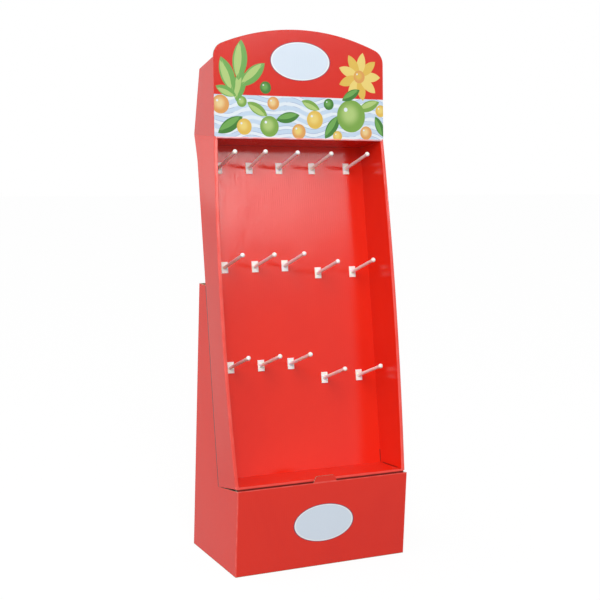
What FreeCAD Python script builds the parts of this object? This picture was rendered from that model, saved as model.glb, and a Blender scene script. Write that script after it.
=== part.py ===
import FreeCAD, Part
import os
import Sketcher

# Cardboard floor display stand: a folded base box, an inner riser, a leaning tray with double
# side walls, an arched header hood and fifteen plastic hooks.
# Millimetres, +Z up, +Y towards the back, +X to the right of someone who faces the stand.
# The origin is the middle of the base box's underside.

doc = FreeCAD.newDocument("display_stand")

# Driving dimensions: corrugated board, its folds and the play between pieces
BOARD_SIZES = {
    "board": 3,
    "fold_gap": 0.6,
    "seat_gap": 0.2,
    "fold_radius": 2,
}
# Base box and the riser inside it
BASE_SIZES = {
    "base_width": 500,
    "base_depth": 280,
    "front_height": 226,
    "wing_height": 719,
    "dust_flap": 135,
    "tuck_flap": 45,
    "tab_height": 17,
    "tab_foot": 69,
    "tab_top": 53,
    "tab_round": 7,
    "riser_reach": 100,
    "riser_foot": 40,
}
# Leaning tray
TRAY_SIZES = {
    "lean": 12,
    "tray_setback": 12,
    "tray_lift": 3,
    "tray_front": 900,
    "tray_depth": 114,
    "wall_width": 9.2,
    "left_bow": 12,
    "right_bow": 8.5,
    "straight_back": 540,
    "kink_level": 858,
    "kink_reach": 7,
    "ceiling_level": 895,
    "floor_level": 3.5,
    "floor_rise": 14,
    "lip_drop": 60,
}
# Header hood
HEADER_SIZES = {
    "header_lean": 5.6,
    "header_depth": 136,
    "card_height": 280,
    "arch_radius": 610,
    "card_corner": 38,
    "side_height": 201,
    "side_top_depth": 90,
    "side_top_drop": 31,
    "lap_margin": 6,
    "lap_hold": 8,
    "rear_flap": 35,
}
# Hooks and where they stand on the back panel
HOOK_SIZES = {
    "left_first": 54,
    "left_pitch": 88.5,
    "right_last": 61.5,
    "right_pitch": 107.5,
    "top_row": 835,
    "left_drop": 264.2,
    "right_drop": 286.3,
    "plate_width": 19,
    "plate_height": 30,
    "plate_thickness": 2.5,
    "arm_diameter": 8.6,
    "arm_length": 127,
    "arm_rise": 10.6,
    "tip_diameter": 12.5,
    "tip_length": 11,
    "nose_length": 4,
    "nose_diameter": 7,
    "stem_width": 8,
    "stem_height": 12,
    "slot_play": 0.5,
    "claw_height": 9,
    "claw_thickness": 2.5,
}

size = doc.addObject("Spreadsheet::Sheet", "Size")
ALL_SIZES = {**BOARD_SIZES, **BASE_SIZES, **TRAY_SIZES, **HEADER_SIZES, **HOOK_SIZES}
for row, (alias, value) in enumerate(ALL_SIZES.items(), start=1):
    size.set(f"A{row}", alias)
    size.set(f"B{row}", str(value))
    size.setAlias(f"B{row}", alias)
doc.recompute()

# Places worked out from the driving dimensions: shared ones, then those of each folded sheet
for owner in ("Place", "InBox", "InRiser", "InTray", "InHood"):
    doc.addObject("App::VarSet", owner)


def derive(reference, formula):
    """Adds a place such as Place.front, worked out by a formula on the driving dimensions."""
    owner, name = reference.split(".")
    places = doc.getObject(owner)
    places.addProperty("App::PropertyFloat", name, "Places", "")
    places.setExpression(name, formula)


def derive_leaning(reference, depth, level):
    """Adds a point of the leaning tray, seen in the part's frame, as reference_y and reference_z."""
    derive(f"{reference}_y",
           f"Place.tray_y + ({depth}) * cos(Size.lean) + ({level}) * sin(Size.lean)")
    derive(f"{reference}_z",
           f"Place.tray_z - ({depth}) * sin(Size.lean) + ({level}) * cos(Size.lean)")


def number(reference):
    """Reads a value such as Size.board or Place.front."""
    owner, field = reference.split(".")
    return float(getattr(doc.getObject(owner), field))


def near(value, reference):
    """Says whether a coordinate lies at a named place."""
    return abs(value - number(reference)) < 1e-4


def outline(body, name, role, corners, offset=None, arcs=None):
    """Draws a closed outline on one of the body's origin planes.

    corners names each corner's two coordinates. arcs gives, for the number of an edge that is
    round, the names of its centre's coordinates and of its radius.
    """
    sketch = body.newObject("Sketcher::SketchObject", name)
    origin_plane = next(f for f in body.Origin.OriginFeatures if f.Role == role)
    sketch.AttachmentSupport = [(origin_plane, "")]
    sketch.MapMode = "FlatFace"
    if offset:
        sketch.setExpression("AttachmentOffset.Base.z", offset)
    arcs = arcs or {}
    points = [FreeCAD.Vector(number(across), number(up), 0) for across, up in corners]
    first_end = []
    last_end = []
    for edge, start in enumerate(points):
        end = points[(edge + 1) % len(points)]
        if edge in arcs:
            centre = FreeCAD.Vector(number(arcs[edge][0]), number(arcs[edge][1]), 0)
            to_middle = (start + end) * 0.5 - centre
            to_middle.normalize()
            middle = centre + to_middle * (start - centre).Length
            sketch.addGeometry(Part.Arc(start, middle, end), False)
        else:
            sketch.addGeometry(Part.LineSegment(start, end), False)
        to_first = (sketch.getPoint(edge, 1) - start).Length
        to_last = (sketch.getPoint(edge, 2) - start).Length
        first_end.append(1 if to_first < to_last else 2)
        last_end.append(2 if to_first < to_last else 1)
    for edge in range(len(points)):
        after = (edge + 1) % len(points)
        join = Sketcher.Constraint("Coincident", edge, last_end[edge], after, first_end[after])
        sketch.addConstraint(join)
    for edge, (across, up) in enumerate(corners):
        for direction, reference in (("DistanceX", across), ("DistanceY", up)):
            distance = Sketcher.Constraint(direction, -1, 1, edge, first_end[edge], number(reference))
            sketch.setExpression(f"Constraints[{sketch.addConstraint(distance)}]", reference)
    for edge, (across, up, radius) in arcs.items():
        curve = Sketcher.Constraint("Radius", edge, number(radius))
        sketch.setExpression(f"Constraints[{sketch.addConstraint(curve)}]", radius)
    return sketch


def block_outline(body, name, role, low, high, offset=None):
    """Draws a rectangle between two corners, each named by its two coordinates."""
    corners = [(low[0], low[1]), (high[0], low[1]), (high[0], high[1]), (low[0], high[1])]
    return outline(body, name, role, corners, offset=offset)


def feature(body, kind, name, sketch, **settings):
    """Adds a pad, pocket or loft of a sketch and makes it the body's tip.

    A setting given as text is an expression on the named sizes.
    """
    made = body.newObject(kind, name)
    made.Profile = sketch
    for setting, value in settings.items():
        if isinstance(value, str):
            made.setExpression(setting, value)
        else:
            setattr(made, setting, value)
    body.Tip = made
    doc.recompute()
    return made


def across_pad(body, name, sketch, width):
    """Pads a side outline evenly to the left and right."""
    return feature(body, "PartDesign::Pad", name, sketch, Midplane=True, Length=width)


def across_cut(body, name, sketch, width):
    """Cuts a side outline evenly to the left and right."""
    return feature(body, "PartDesign::Pocket", name, sketch, Midplane=True, Length=width)


def round_edges(body, name, radius, wanted):
    """Rounds the edges of the body's tip that wanted picks by their two ends."""
    tip = body.Tip
    picked = []
    for index, edge in enumerate(tip.Shape.Edges, start=1):
        if len(edge.Vertexes) == 2 and wanted(edge.Vertexes[0].Point, edge.Vertexes[1].Point):
            picked.append(f"Edge{index}")
    made = body.newObject("PartDesign::Fillet", name)
    made.Base = (tip, picked)
    made.setExpression("Radius", radius)
    body.Tip = made
    doc.recompute()
    return made


INSIDE_WIDTH = "Size.base_width - 2 * Size.board"
PANEL_WIDTH = "Size.base_width - 2 * Size.board - 2 * Size.fold_gap"

derive("Place.zero", "0")
derive("Place.right", "Size.base_width / 2")
derive("Place.left", "-Size.base_width / 2")
derive("Place.right_inner", "Place.right - Size.board")
derive("Place.left_inner", "Place.left + Size.board")
derive("Place.front", "-Size.base_depth / 2")
derive("Place.back", "Size.base_depth / 2")
derive("Place.tray_y", "Place.front + Size.tray_setback")
derive("Place.tray_z", "Size.front_height + Size.tray_lift")
derive("Place.tray_panel", "Size.tray_depth - Size.board")
derive_leaning("Place.heel", "Size.tray_depth + Size.seat_gap", "-Size.seat_gap")
doc.recompute()


def make_base_box():
    """Base box: one folded sheet with stepped side panels, a rolled front and a tucked bottom."""
    body = doc.addObject("PartDesign::Body", "base_box")
    derive("InBox.outer_layer", "Place.front + Size.board")
    derive("InBox.inner_layer", "InBox.outer_layer + Size.fold_gap")
    derive("InBox.roll_back", "InBox.inner_layer + Size.board")
    derive("InBox.roll_under", "Size.front_height - Size.board")
    derive("InBox.roll_foot", "2 * Size.board + 2 * Size.fold_gap")
    derive("InBox.back_inner", "Place.back - Size.board")
    derive("InBox.over_wings", "Size.wing_height + Size.board")
    derive("InBox.wing_front", "Place.heel_y + (Size.wing_height - Place.heel_z) * tan(Size.lean)")
    doc.recompute()
    sides = outline(body, "side_outline", "YZ_Plane", [
        ("Place.front", "Place.zero"),
        ("Place.back", "Place.zero"),
        ("Place.back", "Size.wing_height"),
        ("InBox.wing_front", "Size.wing_height"),
        ("Place.heel_y", "Place.heel_z"),
        ("Place.front", "Size.front_height"),
    ])
    across_pad(body, "box_block", sides, "Size.base_width")
    inside = block_outline(body, "inside_outline", "YZ_Plane",
                           ("InBox.roll_back", "Size.board"), ("InBox.back_inner", "InBox.over_wings"))
    across_cut(body, "inside", inside, INSIDE_WIDTH)
    roll = outline(body, "roll_gap_outline", "YZ_Plane", [
        ("InBox.outer_layer", "Size.board"),
        ("InBox.roll_back", "Size.board"),
        ("InBox.roll_back", "InBox.roll_foot"),
        ("InBox.inner_layer", "InBox.roll_foot"),
        ("InBox.inner_layer", "InBox.roll_under"),
        ("InBox.outer_layer", "InBox.roll_under"),
    ])
    across_cut(body, "roll_gap", roll, INSIDE_WIDTH)

    # Bottom: the panel hinges at the front and tucks up inside the back, under two dust flaps
    derive("InBox.below", "-Size.board")
    derive("InBox.tuck_back", "InBox.back_inner - Size.fold_gap")
    derive("InBox.tuck_front", "InBox.tuck_back - Size.board")
    derive("InBox.flap_under", "Size.board + Size.fold_gap")
    derive("InBox.flap_over", "InBox.flap_under + Size.board")
    derive("InBox.flap_front", "InBox.roll_back + Size.fold_gap")
    derive("InBox.flap_back", "InBox.tuck_front - Size.fold_gap")
    derive("InBox.right_slit", "Place.right_inner - Size.fold_gap")
    derive("InBox.left_slit", "Place.left_inner + Size.fold_gap")
    derive("InBox.right_flap_end", "Place.right - Size.dust_flap")
    derive("InBox.left_flap_end", "Place.left + Size.dust_flap")
    doc.recompute()
    tuck = block_outline(body, "tuck_outline", "YZ_Plane",
                         ("InBox.tuck_front", "Place.zero"), ("InBox.tuck_back", "Size.tuck_flap"))
    across_pad(body, "tuck", tuck, f"{PANEL_WIDTH} - 2 * Size.board")
    back_slit = block_outline(body, "back_slit_outline", "YZ_Plane",
                              ("InBox.tuck_back", "InBox.below"), ("InBox.back_inner", "Size.board"))
    across_cut(body, "back_slit", back_slit, INSIDE_WIDTH)
    for hand in ("right", "left"):
        inner = f"Place.{hand}_inner"
        slit = block_outline(body, f"{hand}_slit_outline", "XZ_Plane",
                             (f"InBox.{hand}_slit", "InBox.below"), (inner, "Size.board"),
                             offset="-InBox.back_inner")
        feature(body, "PartDesign::Pocket", f"{hand}_slit", slit, Reversed=True,
                Length="InBox.back_inner - InBox.outer_layer")
        flap = block_outline(body, f"{hand}_flap_outline", "XZ_Plane",
                             (f"InBox.{hand}_flap_end", "InBox.flap_under"), (inner, "InBox.flap_over"),
                             offset="-InBox.flap_back")
        feature(body, "PartDesign::Pad", f"{hand}_dust_flap", flap,
                Length="InBox.flap_back - InBox.flap_front")

    # Thumb tab: cut out of the rolled inner layer, it stays upright when that layer folds down
    derive("InBox.tab_head", "Size.front_height + Size.tab_height")
    derive("InBox.window_foot", "Size.front_height - Size.tab_height")
    derive("InBox.tab_foot_right", "Size.tab_foot / 2")
    derive("InBox.tab_foot_left", "-Size.tab_foot / 2")
    derive("InBox.tab_top_right", "Size.tab_top / 2")
    derive("InBox.tab_top_left", "-Size.tab_top / 2")
    doc.recompute()
    tab = outline(body, "tab_outline", "XZ_Plane", [
        ("InBox.tab_foot_left", "InBox.roll_under"),
        ("InBox.tab_foot_right", "InBox.roll_under"),
        ("InBox.tab_foot_right", "Size.front_height"),
        ("InBox.tab_top_right", "InBox.tab_head"),
        ("InBox.tab_top_left", "InBox.tab_head"),
        ("InBox.tab_foot_left", "Size.front_height"),
    ], offset="-Place.front")
    feature(body, "PartDesign::Pad", "thumb_tab", tab, Reversed=True, Length="Size.board")
    window = outline(body, "window_outline", "XZ_Plane", [
        ("InBox.tab_foot_left", "InBox.tab_head"),
        ("InBox.tab_foot_left", "Size.front_height"),
        ("InBox.tab_top_left", "InBox.window_foot"),
        ("InBox.tab_top_right", "InBox.window_foot"),
        ("InBox.tab_foot_right", "Size.front_height"),
        ("InBox.tab_foot_right", "InBox.tab_head"),
    ], offset="-InBox.outer_layer")
    feature(body, "PartDesign::Pocket", "tab_window", window, Length="Size.board + 2 * Size.fold_gap")
    round_edges(body, "tab_rounding", "Size.tab_round", lambda a, b: (
        near(a.z, "InBox.tab_head") and near(b.z, "InBox.tab_head") and abs(a.x - b.x) < 1e-6))
    round_edges(body, "corner_folds", "Size.fold_radius", lambda a, b: (
        abs(a.x - b.x) + abs(a.y - b.y) < 1e-6
        and (near(a.x, "Place.left") or near(a.x, "Place.right"))
        and (near(a.y, "Place.front") or near(a.y, "Place.back"))))
    return body


def make_base_riser():
    """Riser: plain board folded to a bridge with turned-in feet, which carries the tray's floor."""
    body = doc.addObject("PartDesign::Body", "base_riser")
    derive_leaning("InRiser.floor_under", "0", "Size.floor_level - Size.board")
    derive("InRiser.floor_fall", "tan(Size.lean * 1deg - atan(Size.floor_rise / Size.tray_depth))")
    derive("InRiser.riser_front", "InRiser.floor_under_y + Size.board + 3 * Size.fold_gap")
    derive("InRiser.riser_back", "InRiser.riser_front + Size.riser_reach")
    derive("InRiser.riser_leg_front", "InRiser.riser_front + Size.board")
    derive("InRiser.riser_leg_back", "InRiser.riser_back - Size.board")
    derive("InRiser.roof_front", "InRiser.floor_under_z - Size.seat_gap "
                         "- (InRiser.riser_front - InRiser.floor_under_y) * InRiser.floor_fall")
    derive("InRiser.roof_back", "InRiser.roof_front - Size.riser_reach * InRiser.floor_fall")
    derive("InRiser.ceiling_front", "InRiser.roof_front - Size.board")
    derive("InRiser.ceiling_back", "InRiser.roof_back - Size.board")
    derive("InRiser.foot_under", "InBox.flap_over + Size.seat_gap")
    derive("InRiser.foot_over", "InRiser.foot_under + Size.board")
    derive("InRiser.front_foot_end", "InRiser.riser_front + Size.riser_foot")
    derive("InRiser.back_foot_end", "InRiser.riser_back - Size.riser_foot")
    doc.recompute()
    bridge = outline(body, "bridge_outline", "YZ_Plane", [
        ("InRiser.riser_front", "InRiser.foot_under"),
        ("InRiser.riser_back", "InRiser.foot_under"),
        ("InRiser.riser_back", "InRiser.roof_back"),
        ("InRiser.riser_front", "InRiser.roof_front"),
    ])
    across_pad(body, "bridge_block", bridge, PANEL_WIDTH)
    under = outline(body, "under_bridge_outline", "YZ_Plane", [
        ("InRiser.riser_leg_front", "InRiser.foot_over"),
        ("InRiser.riser_leg_back", "InRiser.foot_over"),
        ("InRiser.riser_leg_back", "InRiser.ceiling_back"),
        ("InRiser.riser_leg_front", "InRiser.ceiling_front"),
    ])
    across_cut(body, "under_bridge", under, "Size.base_width")
    between_feet = block_outline(body, "between_feet_outline", "YZ_Plane",
                                 ("InRiser.front_foot_end", "Place.zero"),
                                 ("InRiser.back_foot_end", "InRiser.foot_over"))
    across_cut(body, "between_feet", between_feet, "Size.base_width")
    return body


def upright_edge(name, hand, inset, depth=None):
    """Names one upright edge of a side wall's section, with its arc's centre and radius if it bows.

    A wall bows outwards most at its front fold and is straight where its panel ends.
    """
    edge = f"InTray.{name}"
    outwards = "-1" if hand == "left" else "1"
    derive(edge, f"{outwards} * (Size.base_width / 2 - ({inset}))")
    if not depth:
        return edge, None
    bow = f"{edge}_bow"
    derive(bow, f"Size.{hand}_bow * (1 - ({depth}) / InTray.side_reach)")
    derive(f"{edge}_radius", f"(Size.tray_front ^ 2 / 4 + {bow} ^ 2) / (2 * {bow})")
    derive(f"{edge}_centre", f"{edge} + {outwards} * ({bow} - {edge}_radius)")
    return edge, (f"{edge}_centre", "InTray.tray_middle", f"{edge}_radius")


def wall_section(body, name, left_edge, right_edge, depth):
    """Draws a cross section of the tray between two upright edges, at one depth."""
    levels = ("InTray.low_waste", "Place.zero", "Size.tray_front", "InTray.high_waste")
    corners = [(left_edge[0], level) for level in levels]
    corners += [(right_edge[0], level) for level in reversed(levels)]
    arcs = {index: edge[1] for index, edge in ((1, left_edge), (5, right_edge)) if edge[1]}
    return outline(body, name, "XZ_Plane", corners, offset=f"-({depth})", arcs=arcs)


def loft(body, kind, name, front_section, back_section):
    """Joins two sections with straight rulings."""
    return feature(body, kind, name, front_section, Sections=[back_section], Ruled=True)


def make_tray_sheet():
    """Tray sheet in its own upright axes: back panel, floor and double side walls, no slots yet."""
    body = doc.addObject("PartDesign::Body", "tray_sheet")
    derive("InTray.side_reach", "Size.header_depth * cos(Size.lean)")
    derive("InTray.side_peak", "Size.tray_front + Size.header_depth * sin(Size.lean)")
    derive("InTray.kink_depth", "Size.tray_depth + Size.kink_reach")
    derive("InTray.tray_middle", "Size.tray_front / 2")
    derive("InTray.low_waste", "-8 * Size.board")
    derive("InTray.high_waste", "InTray.side_peak + 8 * Size.board")
    derive("InTray.before_tray", "-8 * Size.board")
    derive("InTray.behind_tray", "InTray.side_reach + 8 * Size.board")
    derive("InTray.peak_line_front", "Size.tray_front + InTray.before_tray * tan(Size.lean)")
    derive("InTray.wall_top", "Size.ceiling_level - Size.seat_gap")
    front = "0"
    panel = "Place.tray_panel"
    inner = "Size.wall_width"
    under_outer = "Size.board"
    under_inner = "Size.wall_width - Size.board"
    outer = [upright_edge(f"outer_{hand}", hand, "0", front) for hand in ("left", "right")]
    reach = [upright_edge(f"reach_{hand}", hand, "0") for hand in ("left", "right")]
    mouth = [upright_edge(f"mouth_{hand}", hand, inner, front) for hand in ("left", "right")]
    deep = [upright_edge(f"deep_{hand}", hand, inner, panel) for hand in ("left", "right")]
    gap_edges = {}
    for hand in ("left", "right"):
        for where, depth in (("strip", "Size.board"), ("panel", panel)):
            edges = [upright_edge(f"{hand}_{where}_outer", hand, under_outer, depth),
                     upright_edge(f"{hand}_{where}_inner", hand, under_inner, depth)]
            gap_edges[hand, where] = edges if hand == "left" else edges[::-1]
    doc.recompute()

    # The walls' outer faces, then the side panels' outline
    outer_front = wall_section(body, "outer_front", *outer, front)
    outer_back = wall_section(body, "outer_back", *reach, "InTray.side_reach")
    loft(body, "PartDesign::AdditiveLoft", "outer_block", outer_front, outer_back)
    waste = outline(body, "side_waste", "YZ_Plane", [
        ("InTray.before_tray", "InTray.peak_line_front"),
        ("InTray.side_reach", "InTray.side_peak"),
        ("InTray.kink_depth", "Size.kink_level"),
        ("Size.tray_depth", "Size.straight_back"),
        ("Size.tray_depth", "Place.zero"),
        ("InTray.before_tray", "Place.zero"),
        ("InTray.before_tray", "InTray.low_waste"),
        ("InTray.behind_tray", "InTray.low_waste"),
        ("InTray.behind_tray", "InTray.high_waste"),
        ("InTray.before_tray", "InTray.high_waste"),
    ])
    across_cut(body, "side_trim", waste, "2 * Size.base_width")

    # The open inside, then the space between the two layers of each wall
    cavity_front = wall_section(body, "cavity_front", *mouth, front)
    cavity_back = wall_section(body, "cavity_back", *deep, panel)
    loft(body, "PartDesign::SubtractiveLoft", "cavity", cavity_front, cavity_back)
    round_edges(body, "wall_folds", "Size.fold_radius", lambda a, b: (
        abs(a.y) + abs(b.y) < 1e-6 and abs(a.x - b.x) < 1e-6
        and abs(a.z - b.z) > number("InTray.tray_middle")))
    for hand in ("left", "right"):
        strip = wall_section(body, f"{hand}_strip_section", *gap_edges[hand, "strip"], "Size.board")
        back = wall_section(body, f"{hand}_panel_section", *gap_edges[hand, "panel"], panel)
        loft(body, "PartDesign::SubtractiveLoft", f"{hand}_wall_gap", strip, back)
    behind = block_outline(body, "behind_panel_outline", "YZ_Plane",
                           ("Size.tray_depth", "InTray.low_waste"),
                           ("InTray.behind_tray", "InTray.high_waste"))
    across_cut(body, "behind_panel", behind, INSIDE_WIDTH)
    top = block_outline(body, "open_top_outline", "YZ_Plane",
                        ("InTray.before_tray", "InTray.wall_top"),
                        ("InTray.behind_tray", "InTray.high_waste"))
    across_cut(body, "open_top", top, INSIDE_WIDTH)

    # Floor: it hinges at the back panel, and its front lip drops inside the base box
    derive("InTray.floor_pitch", "Size.floor_rise / Size.tray_depth")
    derive("InTray.floor_back", "Size.floor_level + Place.tray_panel * InTray.floor_pitch")
    derive("InTray.floor_back_under", "InTray.floor_back - Size.board")
    derive("InTray.walls_end_back", "InTray.floor_back + Size.fold_gap")
    derive("InTray.walls_end_front",
           "Size.floor_level + Size.fold_gap + InTray.before_tray * InTray.floor_pitch")
    derive("InTray.lip_end_depth", "Size.lip_drop * sin(Size.lean)")
    derive("InTray.lip_end", "Size.floor_level - Size.lip_drop * cos(Size.lean)")
    derive("InTray.lip_back_depth", "InTray.lip_end_depth + Size.board * cos(Size.lean)")
    derive("InTray.lip_back", "InTray.lip_end + Size.board * sin(Size.lean)")
    derive("InTray.lip_root_run", "Size.board * (1 + sin(Size.lean) - cos(Size.lean) * InTray.floor_pitch)"
                           " / (cos(Size.lean) + sin(Size.lean) * InTray.floor_pitch)")
    derive("InTray.lip_root_depth", "Size.board * cos(Size.lean) + InTray.lip_root_run * sin(Size.lean)")
    derive("InTray.lip_root", "Size.floor_level + Size.board * sin(Size.lean)"
                       " - InTray.lip_root_run * cos(Size.lean)")
    doc.recompute()
    under_walls = outline(body, "under_walls_outline", "YZ_Plane", [
        ("InTray.before_tray", "InTray.low_waste"),
        ("Place.tray_panel", "InTray.low_waste"),
        ("Place.tray_panel", "InTray.walls_end_back"),
        ("InTray.before_tray", "InTray.walls_end_front"),
    ])
    across_cut(body, "under_walls", under_walls, INSIDE_WIDTH)
    floor = outline(body, "floor_outline", "YZ_Plane", [
        ("Place.zero", "Size.floor_level"),
        ("Place.tray_panel", "InTray.floor_back"),
        ("Place.tray_panel", "InTray.floor_back_under"),
        ("InTray.lip_root_depth", "InTray.lip_root"),
        ("InTray.lip_back_depth", "InTray.lip_back"),
        ("InTray.lip_end_depth", "InTray.lip_end"),
    ])
    across_pad(body, "floor_and_lip", floor, PANEL_WIDTH)
    return body


# Hook stations: the place across, from the middle, and the level up the tray's back panel
LEFT_COLUMNS = 3
RIGHT_COLUMNS = 2
ROWS = 3
stations = []
for line in range(ROWS):
    for column in range(LEFT_COLUMNS):
        stations.append((
            f"hook_{line + 1}_{column + 1}",
            f"Place.left + Size.left_first + {column} * Size.left_pitch",
            f"Size.top_row - {line} * Size.left_drop",
        ))
    for column in range(RIGHT_COLUMNS):
        stations.append((
            f"hook_{line + 1}_{LEFT_COLUMNS + column + 1}",
            f"Place.right - Size.right_last - {RIGHT_COLUMNS - 1 - column} * Size.right_pitch",
            f"Size.top_row - {line} * Size.right_drop",
        ))

UPRIGHT = "rotation(vector(0; 0; 1); 0)"
LEANING = "placement(vector(0; Place.tray_y; Place.tray_z); rotation(vector(1; 0; 0); -Size.lean))"


def primitive(kind, name, across, depth, level, turn=UPRIGHT, **settings):
    """Adds a Part solid whose place is given in the tray's axes and whose sizes are expressions."""
    made = doc.addObject(kind, name)
    for setting, value in settings.items():
        made.setExpression(setting, value)
    made.setExpression("Placement", f"{LEANING} * placement(vector({across}; {depth}; {level}); {turn})")
    return made


def make_tray():
    """Tray: the leaning tray sheet with a slot through its back panel at each hook station."""
    sheet = make_tray_sheet()
    sheet.setExpression("Placement", LEANING)
    slots = doc.addObject("Part::MultiFuse", "hook_slots")
    slots.Shapes = [
        primitive("Part::Box", f"{name}_slot",
                  f"{across} - Size.stem_width / 2 - Size.slot_play",
                  "Place.tray_panel - Size.board",
                  f"{level} - Size.stem_height / 2 - Size.slot_play",
                  Length="Size.stem_width + 2 * Size.slot_play",
                  Width="3 * Size.board",
                  Height="Size.stem_height + 2 * Size.slot_play")
        for name, across, level in stations
    ]
    tray = doc.addObject("Part::Cut", "tray")
    tray.Base = sheet
    tray.Tool = slots
    return tray


def make_hook(name, across, level):
    """Hook: moulded plate on the panel's face, rising arm with a round tip, stem and claw behind."""
    face = "(Place.tray_panel - Size.seat_gap)"
    inside_plate = f"({face} - Size.plate_thickness / 2)"
    claw_face = "(Size.tray_depth + Size.seat_gap)"
    stem_left = f"{across} - Size.stem_width / 2"
    stem_foot = f"{level} - Size.stem_height / 2"

    def turned(kind, part, reach, **settings):
        """Adds a round piece of the arm, which starts at a reach along the rising axis."""
        return primitive(kind, f"{name}_{part}", across,
                         f"{inside_plate} - ({reach}) * cos(Size.arm_rise)",
                         f"{level} + ({reach}) * sin(Size.arm_rise)",
                         turn="rotation(vector(1; 0; 0); 90 - Size.arm_rise)", **settings)

    plate = primitive("Part::Box", f"{name}_plate", f"{across} - Size.plate_width / 2",
                      f"{face} - Size.plate_thickness", f"{level} - Size.plate_height / 2",
                      Length="Size.plate_width", Width="Size.plate_thickness",
                      Height="Size.plate_height")
    arm = turned("Part::Cylinder", "arm", "0", Radius="Size.arm_diameter / 2",
                 Height="Size.arm_length - Size.tip_length")
    tip = turned("Part::Cylinder", "tip", "Size.arm_length - Size.tip_length",
                 Radius="Size.tip_diameter / 2", Height="Size.tip_length - Size.nose_length")
    nose = turned("Part::Cone", "nose", "Size.arm_length - Size.nose_length",
                  Radius1="Size.tip_diameter / 2", Radius2="Size.nose_diameter / 2",
                  Height="Size.nose_length")
    stem = primitive("Part::Box", f"{name}_stem", stem_left, inside_plate, stem_foot,
                     Length="Size.stem_width", Height="Size.stem_height",
                     Width=f"{claw_face} + Size.claw_thickness - {inside_plate}")
    claw = primitive("Part::Box", f"{name}_claw", stem_left, claw_face, stem_foot,
                     Length="Size.stem_width", Width="Size.claw_thickness",
                     Height="Size.stem_height + Size.claw_height")
    hook = doc.addObject("Part::MultiFuse", name)
    hook.Shapes = [plate, arm, tip, nose, stem, claw]
    hook.Refine = True
    return hook


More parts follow.
